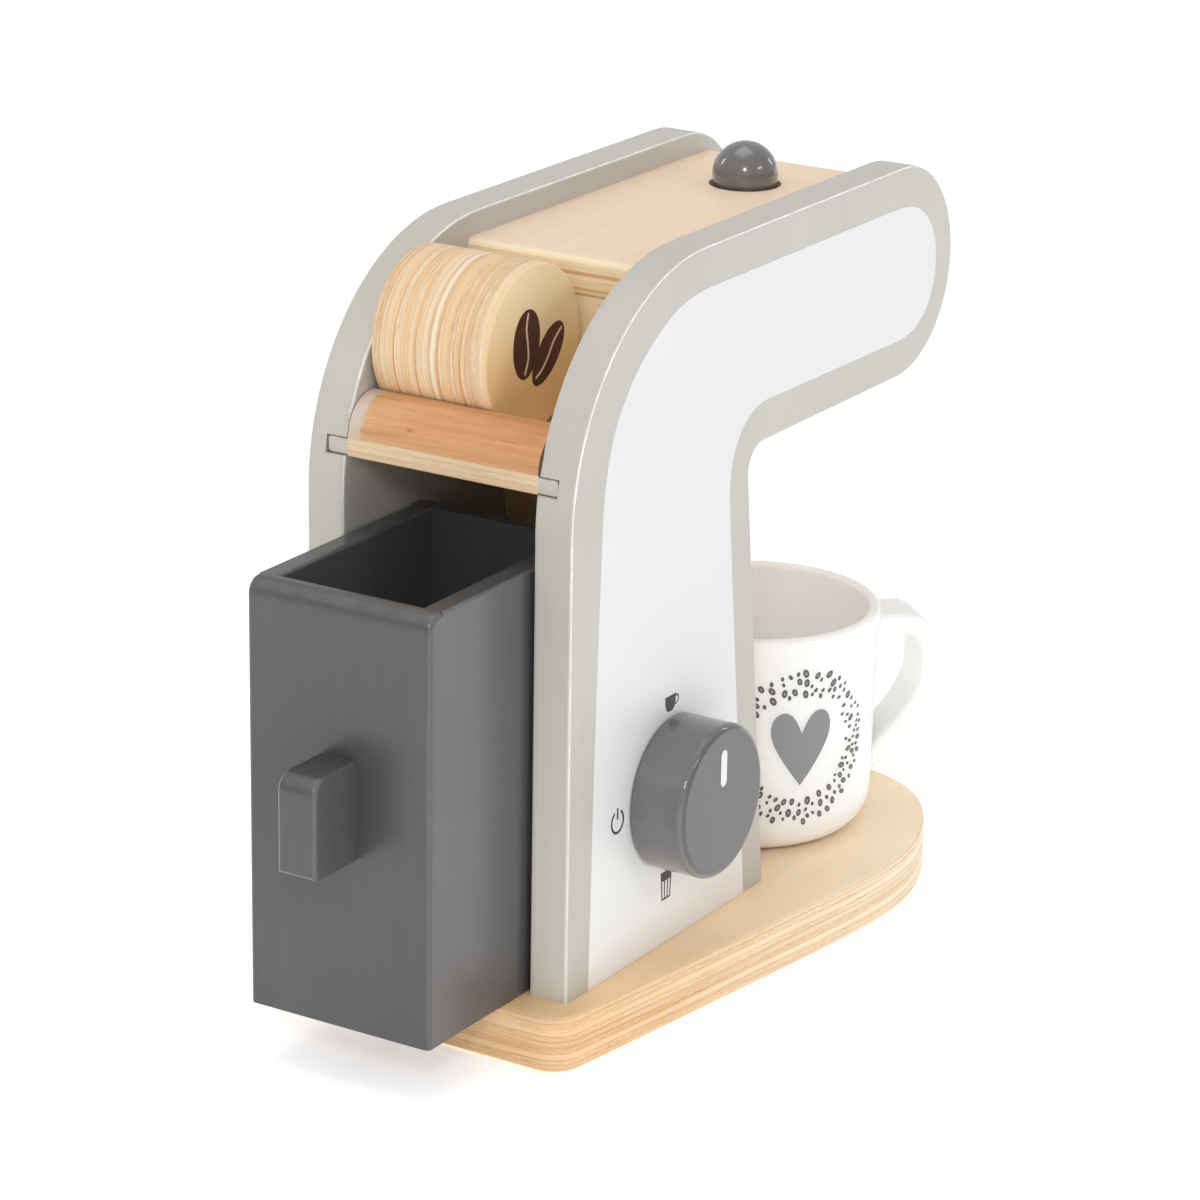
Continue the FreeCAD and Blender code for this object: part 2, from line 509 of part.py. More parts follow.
rear = cut("bin_back_panel", rear, [rear_hole, rear_sink])
node(rear, "bin_back_panel")
xs0 = "Dims.bin_back + Dims.bin_back_wall"
xs1 = "Dims.bin_back + Dims.bin_long - Dims.bin_front_wall"
wl = box("bin_left_blank", xs0, xs1, "Dims.bin_half - Dims.bin_side_wall", "Dims.bin_half", zb0, zb1)
wl = ease("bin_left_eased", wl, lambda e: at(e, "z", top_z) and (at(e, "y", hb) or at(e, "y", hb - S("bin_side_wall"))), 1.0)
node(wl, "bin_left_wall")
wr = box("bin_right_blank", xs0, xs1, "-Dims.bin_half", "-Dims.bin_half + Dims.bin_side_wall", zb0, zb1)
wr = ease("bin_right_eased", wr, lambda e: at(e, "z", top_z) and (at(e, "y", -hb) or at(e, "y", -hb + S("bin_side_wall"))), 1.0)
node(wr, "bin_right_wall")
wf = box("bin_front_blank", xs1, "Dims.bin_back + Dims.bin_long", "-Dims.bin_half", "Dims.bin_half", zb0, zb1)
bf = bb + S("bin_long")
wf = ease("bin_front_eased", wf, lambda e: at(e, "x", bf) and (at(e, "z", top_z) or at(e, "y", hb) or at(e, "y", -hb)), S("bin_edge"))
node(wf, "bin_front_wall")
fl = box("bin_floor", xs0, xs1, "-Dims.bin_half + Dims.bin_side_wall", "Dims.bin_half - Dims.bin_side_wall", zb0,
         "Dims.bin_gap + Dims.bin_floor_thick")
node(fl, "bin_floor")
pull = box("pull_blank", "Dims.bin_back - Dims.pull_deep", "Dims.bin_back", "-Dims.pull_half", "Dims.pull_half",
           "Dims.pull_low", "Dims.pull_high")
px = bb - S("pull_deep")
pt, pl, ph = T + S("pull_high"), T + S("pull_low"), S("pull_half")
pull = ease("pull_nose", pull, lambda e: at(e, "x", px) and at(e, "z", pt), 5.0)
pull = ease("pull_edges", pull, lambda e: (at(e, "x", px) and (at(e, "z", pl) or at(e, "y", ph) or at(e, "y", -ph)))
            or (e.BoundBox.XMax < bb - 0.01 and e.BoundBox.XMin < bb - 8 and (at(e, "y", ph) or at(e, "y", -ph))
                and e.BoundBox.ZMax > pt - 5.5), 1.4)
pull = cut("bin_pull", pull, [cyl("pull_pilot", "1.75", "15", "Dims.bin_back - 14", "0",
                                  "(Dims.pull_low + Dims.pull_high) / 2", "x")])
node(pull, "bin_pull")
zc = T + (S("pull_low") + S("pull_high")) / 2
xi = bb + S("bin_back_wall")
ps = Part.makeCylinder(3.5, 2.0, Vector(xi - 2.2, 0, zc), Vector(1, 0, 0)).fuse(
    Part.makeCylinder(1.75, 16.0, Vector(xi - 2.2 - 16.0, 0, zc), Vector(1, 0, 0))).removeSplitter()
ps = ps.cut(Part.makeBox(1.0, 4.4, 0.8, Vector(xi - 1.1, -2.2, zc - 0.4)).fuse(
    Part.makeBox(1.0, 0.8, 4.4, Vector(xi - 1.1, -0.4, zc - 2.2))))
node(feature("bin_pull_screw", ps), "bin_pull_screw")

# ------------------------------------------------------------------ coffee discs
y_far = "Dims.disc_far"
for k in range(5):
    thick = "Dims.disc_front_thick" if k == 4 else "Dims.disc_thick"
    start = "Dims.disc_far - %d * (Dims.disc_thick + Dims.disc_gap)" % k
    d = cyl("disc_blank_%d" % (k + 1), "Dims.disc_rad", thick, "Dims.disc_x", start, "Dims.shelf_top + Dims.disc_rad + 0.1", "-y")
    d = ease("disc_eased_%d" % (k + 1), d, lambda e: e.Closed and e.BoundBox.YLength < 0.1, S("disc_edge"))
    node(d, "coffee_disc_%d" % (k + 1))

# ------------------------------------------------------------------ cup
H, R1, R0, cc, wall, fl_ = (S("cup_high"), S("cup_rim"), S("cup_foot"), S("cup_corner"), S("cup_wall"), S("cup_floor"))


def V2(r, z):
    return Vector(r, 0, z)


def arc3(a, b, c_):
    return Part.Arc(V2(*a), V2(*b), V2(*c_)).toShape()


def seg(a, b):
    return Part.LineSegment(V2(*a), V2(*b)).toShape()


s45 = math.sqrt(0.5)
ci = cc - wall
inner_r0 = R0 - wall + 0.2
inner_r1 = R1 - wall
outer = [seg((0, 1.0), (23.0, 1.0)), seg((23.0, 1.0), (R0 - cc, 0)), arc3((R0 - cc, 0), (R0 - cc + cc * s45, cc - cc * s45), (R0, cc)),
         seg((R0, cc), (R1, H - wall / 2)), arc3((R1, H - wall / 2), (R1 - wall / 2, H), (R1 - wall, H - wall / 2)),
         seg((R1 - wall, H - wall / 2), (inner_r0, fl_ + ci)),
         arc3((inner_r0, fl_ + ci), (inner_r0 - ci + ci * s45, fl_ + ci - ci * s45), (inner_r0 - ci, fl_)),
         seg((inner_r0 - ci, fl_), (0, fl_)), seg((0, fl_), (0, 1.0))]
cup = Part.Face(Part.Wire(outer)).revolve(Vector(0, 0, 0), Vector(0, 0, 1), 360)
hollow = [seg((0, fl_), (inner_r0 - ci, fl_)), arc3((inner_r0 - ci, fl_), (inner_r0 - ci + ci * s45, fl_ + ci - ci * s45), (inner_r0, fl_ + ci)),
          seg((inner_r0, fl_ + ci), (R1 - wall, H - wall / 2)), seg((R1 - wall, H - wall / 2), (R1 - wall, H + 5)),
          seg((R1 - wall, H + 5), (0, H + 5)), seg((0, H + 5), (0, fl_))]
hollow = Part.Face(Part.Wire(hollow)).revolve(Vector(0, 0, 0), Vector(0, 0, 1), 360)
# ear-shaped handle, a flat strap bent in the plane through the cup's axis
ear_out = [(34.6, 62.9), (44.3, 63.0), (49.4, 62.0), (53.5, 58.4), (55.7, 51.3), (55.1, 41.9), (51.8, 32.0), (45.9, 22.9), (34.4, 13.6)]
ear_in = [(34.6, 56.7), (42.1, 56.8), (47.0, 56.0), (49.4, 53.2), (50.1, 48.2), (49.4, 41.0), (46.8, 35.0), (42.3, 29.0), (34.4, 20.6)]


def ear(points, half):
    c_ = Part.BSplineCurve()
    c_.interpolate([V2(*p) for p in points])
    face = Part.Face(Part.Wire([c_.toShape(), seg(points[-1], points[0])]))
    solid = face.extrude(Vector(0, 2 * half, 0))
    solid.translate(Vector(0, -half, 0))
    return solid


gh = S("grip_half")
handle = ear(ear_out, gh).cut(ear(ear_in, gh + 2))
rim_edges = [e for e in handle.Edges if (at(e, "y", gh) or at(e, "y", -gh)) and e.BoundBox.XMax > 40]
for rad in (2.2, 1.8, 1.4, 1.0):
    try:
        h2 = handle.makeFillet(rad, rim_edges)
        if h2.isValid():
            handle = h2
            break
    except Exception:
        pass
handle = handle.cut(hollow)
handle.rotate(Vector(0, 0, 0), Vector(0, 0, 1), S("grip_angle"))
cup = cup.fuse(handle)
cup.translate(Vector(S("cup_x"), S("cup_y"), T + 0.05))
node(feature("cup", cup), "cup")

# ------------------------------------------------------------------ checks and export
doc.recompute()
bad = [o.Label for o in doc.Objects if "Invalid" in o.State or "Error" in o.State]
assert not bad, "failed objects: %s" % bad
for o in NODES:
    sh = o.Shape
    assert not sh.isNull() and sh.isValid() and sh.Volume > 1.0, o.Label + " is not a sound solid"
assert len(NODES) == len({o.Label for o in NODES}) <= 60
for o in NODES:
    o.Shape.exportStep(os.path.join("parts", o.Label + ".step"))
    b = o.Shape.BoundBox
    print("%-20s solids %d  vol %9.1f  x %.1f..%.1f  y %.1f..%.1f  z %.1f..%.1f" % (
        o.Label, len(o.Shape.Solids), o.Shape.Volume, b.XMin, b.XMax, b.YMin, b.YMax, b.ZMin, b.ZMax))
print(len(NODES), "nodes written")
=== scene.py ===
import bpy
import bmesh
import math
import random
from mathutils import Matrix, Vector
from mathutils.bvhtree import BVHTree


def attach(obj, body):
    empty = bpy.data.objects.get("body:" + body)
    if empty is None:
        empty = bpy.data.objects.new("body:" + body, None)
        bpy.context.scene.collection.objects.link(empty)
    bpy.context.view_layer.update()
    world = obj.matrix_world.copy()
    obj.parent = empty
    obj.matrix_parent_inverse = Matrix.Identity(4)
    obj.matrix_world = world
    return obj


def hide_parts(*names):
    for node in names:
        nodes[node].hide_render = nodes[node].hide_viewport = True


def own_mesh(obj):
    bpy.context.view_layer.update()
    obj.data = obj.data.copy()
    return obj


# Looks of the wooden toy coffee maker: painted side panels with a white face, lacquered ply boards,
# dark grey painted bin, dial and ball, coffee discs, printed cup.  Lengths in helpers are millimetres.

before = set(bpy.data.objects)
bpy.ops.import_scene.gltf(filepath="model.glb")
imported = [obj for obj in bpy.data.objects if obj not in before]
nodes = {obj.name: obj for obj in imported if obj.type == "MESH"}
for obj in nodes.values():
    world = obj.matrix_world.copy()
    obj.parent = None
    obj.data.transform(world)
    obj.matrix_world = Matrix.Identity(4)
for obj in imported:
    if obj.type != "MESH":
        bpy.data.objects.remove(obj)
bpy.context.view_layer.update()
T = 16.0                                   # top of the base board, mm


def lin(*rgb):
    """0-255 display colour to the scene-linear colour that the shaders take."""
    out = []
    for c in rgb:
        c = c / 255.0
        out.append(c / 12.92 if c <= 0.04045 else ((c + 0.055) / 1.055) ** 2.4)
    return (out[0], out[1], out[2], 1.0)


# ------------------------------------------------------------------ node building
class Mat:
    def __init__(self, name):
        self.m = bpy.data.materials.new(name)
        self.m.use_nodes = True
        self.nt = self.m.node_tree
        self.nt.nodes.clear()
        out = self.nt.nodes.new("ShaderNodeOutputMaterial")
        self.sh = self.nt.nodes.new("ShaderNodeBsdfPrincipled")
        self.nt.links.new(self.sh.outputs[0], out.inputs[0])
        tc = self.nt.nodes.new("ShaderNodeTexCoord")
        self.pos, self.nor = tc.outputs["Object"], tc.outputs["Normal"]
        self._xyz = self._n = None

    def put(self, sock, v):
        if isinstance(v, bpy.types.NodeSocket):
            self.nt.links.new(v, sock)
        else:
            sock.default_value = v

    def math(self, op, a, b=0.0, clamp=False):
        n = self.nt.nodes.new("ShaderNodeMath")
        n.operation = op
        n.use_clamp = clamp
        self.put(n.inputs[0], a)
        self.put(n.inputs[1], b)
        return n.outputs[0]

    def xyz(self):
        if self._xyz is None:
            n = self.nt.nodes.new("ShaderNodeSeparateXYZ")
            self.put(n.inputs[0], self.pos)
            self._xyz = tuple(self.math("MULTIPLY", o, 1000.0) for o in n.outputs)   # mm
        return self._xyz

    def nxyz(self):
        if self._n is None:
            n = self.nt.nodes.new("ShaderNodeSeparateXYZ")
            self.put(n.inputs[0], self.nor)
            self._n = tuple(self.math("ABSOLUTE", o) for o in n.outputs)
        return self._n

    def at(self, scale):
        """Position times a scale per axis, in 1/m."""
        n = self.nt.nodes.new("ShaderNodeVectorMath")
        n.operation = "MULTIPLY"
        self.put(n.inputs[0], self.pos)
        n.inputs[1].default_value = scale
        return n.outputs[0]

    def noise(self, scale, detail=2.0, rough=0.5, dist=0.0, shift=0.0):
        v = self.at(scale if isinstance(scale, tuple) else (scale, scale, scale))
        if shift:
            n = self.nt.nodes.new("ShaderNodeVectorMath")
            n.operation = "ADD"
            self.put(n.inputs[0], v)
            n.inputs[1].default_value = (shift, shift * 0.7, -shift * 1.3)
            v = n.outputs[0]
        n = self.nt.nodes.new("ShaderNodeTexNoise")
        n.noise_dimensions = "3D"
        self.put(n.inputs["Vector"], v)
        n.inputs["Scale"].default_value = 1.0
        n.inputs["Detail"].default_value = detail
        n.inputs["Roughness"].default_value = rough
        n.inputs["Distortion"].default_value = dist
        return n.outputs[0]

    def white(self, w):
        n = self.nt.nodes.new("ShaderNodeTexWhiteNoise")
        n.noise_dimensions = "1D"
        self.put(n.inputs["W"], w)
        return n.outputs["Value"]

    def step(self, v, a, b, lo=0.0, hi=1.0):
        n = self.nt.nodes.new("ShaderNodeMapRange")
        n.interpolation_type = "SMOOTHSTEP"
        self.put(n.inputs[0], v)
        for i, x in zip((1, 2, 3, 4), (a, b, lo, hi)):
            n.inputs[i].default_value = x
        return n.outputs[0]

    def ramp(self, fac, stops, mode="LINEAR"):
        n = self.nt.nodes.new("ShaderNodeValToRGB")
        n.color_ramp.interpolation = mode
        el = n.color_ramp.elements
        el[0].position, el[0].color = stops[0]
        el[1].position, el[1].color = stops[-1]
        for p, c in stops[1:-1]:
            e = el.new(p)
            e.color = c
        self.put(n.inputs[0], fac)
        return n.outputs[0]

    def mix(self, fac, a, b, blend="MIX"):
        n = self.nt.nodes.new("ShaderNodeMix")
        n.data_type = "RGBA"
        n.blend_type = blend
        n.clamp_factor = True
        self.put(n.inputs[0], fac)
        self.put(n.inputs[6], a)
        self.put(n.inputs[7], b)
        return n.outputs[2]

    def bump(self, height, dist, strength=1.0, normal=None):
        n = self.nt.nodes.new("ShaderNodeBump")
        n.inputs["Strength"].default_value = strength
        n.inputs["Distance"].default_value = dist
        self.put(n.inputs["Height"], height)
        if normal is not None:
            self.put(n.inputs["Normal"], normal)
        return n.outputs[0]

    def end(self, color, rough, normal=None, coat=0.0, coat_rough=0.1, spec=0.5, metal=0.0, ior=1.45):
        s = self.sh.inputs
        self.put(s["Base Color"], color)
        self.put(s["Roughness"], rough)
        s["Metallic"].default_value = metal
        s["Specular IOR Level"].default_value = spec
        s["IOR"].default_value = ior
        s["Coat Weight"].default_value = coat
        s["Coat Roughness"].default_value = coat_rough
        if normal is not None:
            self.put(s["Normal"], normal)
        return self.m


def mid(m, v, amount):
    """A 0-1 noise value turned into a change around zero."""
    return m.math("MULTIPLY", m.math("SUBTRACT", v, 0.5), amount)


CREAM, TAN, GLUE = lin(244, 221, 186), lin(224, 190, 146), lin(188, 150, 108)


def ply(name, axis, lo, hi, layers, grain=0, seed=0.0, face=(lin(244, 219, 187), lin(237, 208, 172)), bands=None,
        cream=CREAM, tan=TAN, glue=GLUE, tint=None, shift=0.0, tail=None, contrast=1.0, lines=1.0):
    """Lacquered plywood: veneer grain on the faces square to axis, and layers lo..hi (mm) on the edges."""
    m = Mat(name)
    c = m.xyz()[axis]
    # edge layers
    wob = mid(m, m.noise(14.0, 1.0, shift=shift), 0.5)
    t = m.math("ADD", m.math("MULTIPLY", m.math("SUBTRACT", c, lo), layers / (hi - lo)), wob)
    fl, fr = m.math("FLOOR", t), m.math("FRACT", t)
    rnd = m.white(m.math("ADD", fl, seed + 0.37))
    odd = m.math("MODULO", m.math("ADD", fl, 20.0), 2.0)
    s1, s2 = [22.0] * 3, [330.0] * 3
    s1[axis], s2[axis] = 1500.0, 2300.0
    long_, end_ = m.noise(tuple(s1), 3.0, 0.6, shift=shift + 3), m.noise(tuple(s2), 2.0, 0.6, shift=shift + 5)
    tone = m.math("ADD", m.math("MULTIPLY", rnd, 0.5), m.math("MULTIPLY", odd, 0.22))
    tone = m.math("ADD", tone, mid(m, long_, 1.25 * contrast))
    tone = m.math("ADD", tone, m.math("MULTIPLY", mid(m, end_, 1.0 * contrast), m.math("ADD", m.math("MULTIPLY", odd, 0.7), 0.3)))
    edge = m.ramp(tone, [(0.05, cream), (0.4, m_mix(cream, tan, 0.45)), (0.85, tan)])
    line = m.math("ADD", m.step(fr, 0.0, 0.14, 1.0, 0.0), m.step(fr, 0.9, 1.0, 0.0, 0.6), clamp=True)
    line = m.math("MULTIPLY", line, m.step(m.noise((30.0, 30.0, 30.0), 2.0, shift=shift + 9), 0.3, 0.62, 0.2, 0.85))
    line = m.math("MULTIPLY", line, m.math("ADD", lines * 0.35, m.math("MULTIPLY", m.white(m.math("ADD", fl, seed + 5.61)), lines * 0.9)))
    edge = m.mix(line, edge, glue)
    if bands:
        w2 = mid(m, m.noise((60.0, 60.0, 60.0), 2.0, shift=shift + 13), 0.3)
        cb = m.math("ADD", c, w2)
        for b0, b1, col, amt, soft in bands:
            up, dn = m.step(cb, b0 - soft, b0 + soft), m.step(cb, b1 - soft, b1 + soft, 1.0, 0.0)
            edge = m.mix(m.math("MULTIPLY", m.math("MULTIPLY", up, dn), amt), edge, col)
    # face veneer
    g1, g2, g3 = [620.0] * 3, [95.0] * 3, [2600.0] * 3
    g1[grain], g2[grain], g3[grain] = 16.0, 5.0, 140.0
    fine = m.noise(tuple(g1), 4.0, 0.65, shift=shift + 1)
    broad = m.noise(tuple(g2), 3.0, 0.55, 0.4, shift=shift + 2)
    pore = m.noise(tuple(g3), 2.0, 0.5, shift=shift + 4)
    f = m.math("ADD", m.math("MULTIPLY", fine, 0.5), m.math("MULTIPLY", broad, 0.6))
    fcol = m.ramp(f, [(0.25, face[0]), (0.8, face[1])])
    fcol = m.mix(m.step(pore, 0.66, 0.78, 0.0, 0.22), fcol, m_mix(face[1], glue, 0.7))
    flat = m.step(m.nxyz()[axis], 0.72, 0.93)
    col = m.mix(flat, edge, fcol)
    if tint:
        col = m.mix(0.6, col, tint, "MULTIPLY")
    blotch = m.noise(26.0, 2.0, shift=shift + 6)
    col = m.mix(m.step(blotch, 0.35, 0.8, 0.0, 0.16), col, m_mix(face[1], TAN, 0.5))
    if tail:
        col = tail(m, col)
    h = m.math("ADD", m.math("MULTIPLY", m.math("SUBTRACT", 1.0, line), m.math("SUBTRACT", 1.0, flat)),
               m.math("MULTIPLY", fine, 0.5))
    h = m.math("ADD", h, m.math("MULTIPLY", pore, 0.25))
    rough = m.math("ADD", 0.47, mid(m, fine, 0.16))
    return m.end(col, rough, m.bump(h, 0.00006, 0.5), coat=0.12, coat_rough=0.35)


def m_mix(a, b, f):
    return tuple(x * (1 - f) + y * f for x, y in zip(a, b))


def timber(name, grain, light, dark, fleck, shift=0.0, tail=None, rough0=0.5, coat=0.1):
    """Solid wood with its grain along one axis."""
    m = Mat(name)
    g1, g2, g3 = [420.0] * 3, [130.0] * 3, [1900.0] * 3
    g1[grain], g2[grain], g3[grain] = 20.0, 9.0, 110.0
    fine = m.noise(tuple(g1), 5.0, 0.62, 1.1, shift=shift)
    broad = m.noise(tuple(g2), 3.0, 0.55, 2.2, shift=shift + 2)
    pore = m.noise(tuple(g3), 2.0, 0.5, shift=shift + 4)
    f = m.math("ADD", m.math("MULTIPLY", fine, 0.62), m.math("MULTIPLY", broad, 0.52))
    col = m.ramp(f, [(0.28, light), (0.55, m_mix(light, dark, 0.45)), (0.82, dark)])
    col = m.mix(m.step(pore, 0.6, 0.74, 0.0, 0.4), col, fleck)
    if tail:
        col = tail(m, col)
    h = m.math("ADD", m.math("MULTIPLY", fine, 0.6), m.math("MULTIPLY", pore, 0.4))
    return m.end(col, m.math("ADD", rough0, mid(m, fine, 0.14)), m.bump(h, 0.00006, 0.5), coat=coat, coat_rough=0.3)


def paint(name, base, low, high, brush, rough0, coat, coat_rough, amp=0.00005, shift=0.0, edge_wear_and_highlight=None, tail=None,
          streaks=1.0, spec=0.5):
    """Brushed paint: streaks along the brush axis, an orange-peel bump, and a lighter line on the eased edges that is a
    painted highlight, with some wear as well on the bin and dial.
    """
    m = Mat(name)
    b1, b2 = [300.0] * 3, [1100.0] * 3
    b1[brush], b2[brush] = 9.0, 30.0
    s1 = m.noise(tuple(b1), 3.0, 0.55, shift=shift + 1)
    s2 = m.noise(tuple(b2), 2.0, 0.6, shift=shift + 2)
    cloud = m.noise(17.0, 3.0, 0.55, shift=shift + 3)
    peel = m.noise(900.0, 2.0, 0.5, shift=shift + 4)
    v = m.math("ADD", 0.5, mid(m, s1, 0.5 * streaks))
    v = m.math("ADD", v, mid(m, s2, 0.35 * streaks))
    v = m.math("ADD", v, mid(m, cloud, 0.9))
    col = m.ramp(v, [(0.15, low), (0.5, base), (0.85, high)])
    # Lighter eased edges: a painted highlight, partly wear on some parts.
    if edge_wear_and_highlight:
        nx, ny, nz = m.nxyz()
        if len(edge_wear_and_highlight) > 2:                      # a curved outline: only the tilt between its face and its edge counts
            tilt = m.math("MULTIPLY", m.step(ny, 0.42, 0.58), m.step(ny, 0.78, 0.92, 1.0, 0.0))
        else:
            tilt = m.step(m.math("MAXIMUM", m.math("MAXIMUM", nx, ny), nz), 0.80, 0.985, 1.0, 0.0)
        rim = m.math("MULTIPLY", tilt, m.step(m.noise(160.0, 3.0, shift=shift + 7), 0.3, 0.66, 0.5, 1.0))
        col = m.mix(m.math("MULTIPLY", rim, edge_wear_and_highlight[1]), col, edge_wear_and_highlight[0])
    if tail:
        col = tail(m, col)
    h = m.math("ADD", m.math("MULTIPLY", s1, 0.7), m.math("MULTIPLY", s2, 0.5))
    h = m.math("ADD", h, m.math("MULTIPLY", peel, 0.25))
    rough = m.math("ADD", rough0, m.math("ADD", mid(m, s1, 0.10), mid(m, cloud, 0.12)))
    return m.end(col, rough, m.bump(h, amp, 0.6), coat=coat, coat_rough=coat_rough, spec=spec)


def steel(name, shift=0.0):
    m = Mat(name)
    s = m.noise((300.0, 300.0, 2400.0), 3.0, 0.6, shift=shift)
    c = m.noise(160.0, 2.0, shift=shift + 3)
    col = m.ramp(c, [(0.3, lin(168, 169, 172)), (0.7, lin(198, 198, 200))])
    return m.end(col, m.math("ADD", 0.3, mid(m, s, 0.25)), m.bump(s, 0.00003, 0.5), metal=1.0)


# ------------------------------------------------------------------ materials
GREY = lin(188, 186, 178)


def panel_edges(m, col):
    """Faint layers of the board under the paint of its edges, and painted light as a tone correction for the lamps: the
    edges lighter low down.
    """
    x, y, z = m.xyz()
    t = m.math("MULTIPLY", m.math("ABSOLUTE", y), 0.62)
    lay = m.white(m.math("FLOOR", m.math("ADD", t, mid(m, m.noise(20.0, 1.0), 0.6))))
    amt = m.math("MULTIPLY", m.step(m.nxyz()[1], 0.6, 0.9, 1.0, 0.0), m.math("MULTIPLY", lay, 0.22))
    # Painted light: the edges lighter low down.
    col = m.mix(m.math("MULTIPLY", m.step(m.nxyz()[1], 0.6, 0.9, 1.0, 0.0), m.step(z, 40.0, 175.0, 1.0, 0.1)), col, lin(217, 214, 203))
    return m.mix(amt, col, lin(190, 184, 170))


MP = {}
# The near-white line on the eased edges of the grey panels is a painted highlight.
MP["panel"] = paint("panel_grey_paint", GREY, lin(182, 180, 171), lin(194, 192, 185), 2, 0.42, 0.15, 0.3,
                    amp=0.00005, edge_wear_and_highlight=(lin(250, 250, 246), 1.0, "outline"), tail=panel_edges, streaks=0.5)


def white_tail(m, col):
    """Painted light as a tone correction for the lamps used here: a touch lighter low down."""
    return m.mix(m.step(m.xyz()[2], 20.0, 120.0, 1.0, 0.0), col, lin(231, 231, 229))


MP["white"] = paint("panel_white_paint", lin(220, 221, 221), lin(217, 218, 218), lin(223, 224, 224), 2, 0.4, 0.15, 0.25,
                    amp=0.00003, shift=11.0, streaks=0.5, tail=white_tail)


def bin_tail(m, col):
    """Painted light as a tone correction for the lamps used here: the sides a little lighter than the back."""
    return m.mix(m.step(m.nxyz()[1], 0.7, 0.95, 0.0, 0.8), col, lin(86, 85, 86))


# The lighter eased edges of the bin are partly wear and partly a painted highlight.
MP["bin"] = paint("bin_grey_paint", lin(75, 74, 76), lin(69, 68, 70), lin(83, 82, 83), 2, 0.34, 0.35, 0.22,
                  amp=0.00009, shift=21.0, edge_wear_and_highlight=(lin(104, 103, 104), 0.7), streaks=0.85, tail=bin_tail)


def dial_tail(m, col):
    """Painted light as a tone correction for the lamps used here: the rim lighter than the face."""
    side = m.step(m.nxyz()[1], 0.5, 0.97, 1.0, 0.0)
    return m.mix(m.math("MULTIPLY", side, 0.7), col, lin(121, 120, 121))


# The lighter rim line of the dial is partly wear and partly a painted highlight.
MP["dial"] = paint("dial_gloss_paint", lin(76, 75, 74), lin(71, 70, 69), lin(82, 81, 80), 2, 0.3, 0.9, 0.03,
                   amp=0.00002, shift=31.0, edge_wear_and_highlight=(lin(116, 114, 113), 0.35), streaks=0.6, tail=dial_tail, spec=0.15)
MP["ball"] = paint("ball_gloss_paint", lin(106, 104, 103), lin(100, 98, 97), lin(112, 110, 109), 2, 0.3, 1.0, 0.02,
                   amp=0.00001, shift=37.0, streaks=0.5)
MP["spout"] = paint("spout_gloss_paint", lin(97, 96, 98), lin(90, 89, 91), lin(104, 103, 105), 2, 0.3, 0.5, 0.1,
                    amp=0.00003, shift=39.0)
def base_tail(m, col):
    """Painted warm bounce light as a tone correction for the lamps used here: the board warmer towards its back."""
    x, y, z = m.xyz()
    w = m.math("ADD", x, mid(m, m.noise(18.0, 2.0, shift=8.0), 70.0))
    return m.mix(m.step(w, -70.0, 90.0, 0.85, 0.0), col, m.mix(1.0, col, lin(247, 222, 190), "MULTIPLY"))


MP["base"] = ply("base_ply", 2, 0.0, 16.0, 9, grain=0, seed=4.0, shift=1.0, face=(lin(255, 239, 213), lin(254, 226, 189)),
                 cream=lin(246, 228, 200), tan=lin(208, 171, 127), lines=1.6, tail=base_tail)


def shelf_tail(m, col):
    x, y, z = m.xyz()
    w = mid(m, m.noise(300.0, 2.0), 1.6)
    ends = m.step(m.math("ADD", m.math("ABSOLUTE", y), w), 30.0, 30.8)
    col = m.mix(ends, col, lin(196, 192, 182))
    # dark seam round the end in its notch, with rounded corners
    px = m.math("MAXIMUM", m.math("SUBTRACT", m.math("ABSOLUTE", y), 35.7), 0.0)
    pz = m.math("MAXIMUM", m.math("SUBTRACT", m.math("ABSOLUTE", m.math("SUBTRACT", z, 160.35)), 1.25), 0.0)
    d = m.math("SQRT", m.math("ADD", m.math("MULTIPLY", px, px), m.math("MULTIPLY", pz, pz)))
    seam = m.math("MULTIPLY", m.step(m.math("ADD", d, mid(m, m.noise(500.0, 2.0, shift=3.0), 0.35)), 0.75, 1.0), m.step(m.math("ABSOLUTE", y), 30.3, 30.6))
    return m.mix(m.math("MULTIPLY", seam, 0.9), col, lin(74, 64, 54))


MP["shelf"] = ply("shelf_ply", 2, 157.8, 162.9, 3, grain=1, seed=2.0, shift=2.0, tail=shelf_tail, cream=lin(234, 211, 177), tan=lin(208, 172, 128))
ORANGE = lin(226, 178, 124)
MP["roof"] = ply("roof_ply", 2, 195.0, 206.0, 5, grain=0, seed=7.0, shift=3.0, face=(lin(243, 220, 194), lin(235, 209, 180)),
                 bands=[(200.7, 201.7, lin(222, 168, 112), 0.85, 0.2), (196.6, 197.3, lin(214, 160, 106), 0.8, 0.2)], contrast=0.7,
                 cream=lin(255, 238, 202), tan=lin(246, 214, 170))
MP["plate"] = ply("plate_ply", 0, 1.0, 7.0, 3, grain=1, seed=9.0, shift=4.0,
                  face=(lin(255, 238, 202), lin(250, 224, 182)))
MP["arm"] = ply("arm_ply", 2, 157.0, 163.0, 3, grain=0, seed=12.0, shift=5.0)
MP["armfront"] = ply("armfront_ply", 0, 124.5, 130.5, 3, grain=1, seed=13.0, shift=6.0)
MP["column"] = ply("column_ply", 0, 0.0, 46.0, 30, grain=2, seed=15.0, shift=7.0,
                   face=(lin(248, 214, 168), lin(238, 196, 144)))
MP["guide"] = ply("guide_ply", 2, 179.0, 189.0, 6, grain=1, seed=17.0, shift=8.0)
dark_line, warm = lin(176, 128, 84), lin(232, 184, 132)


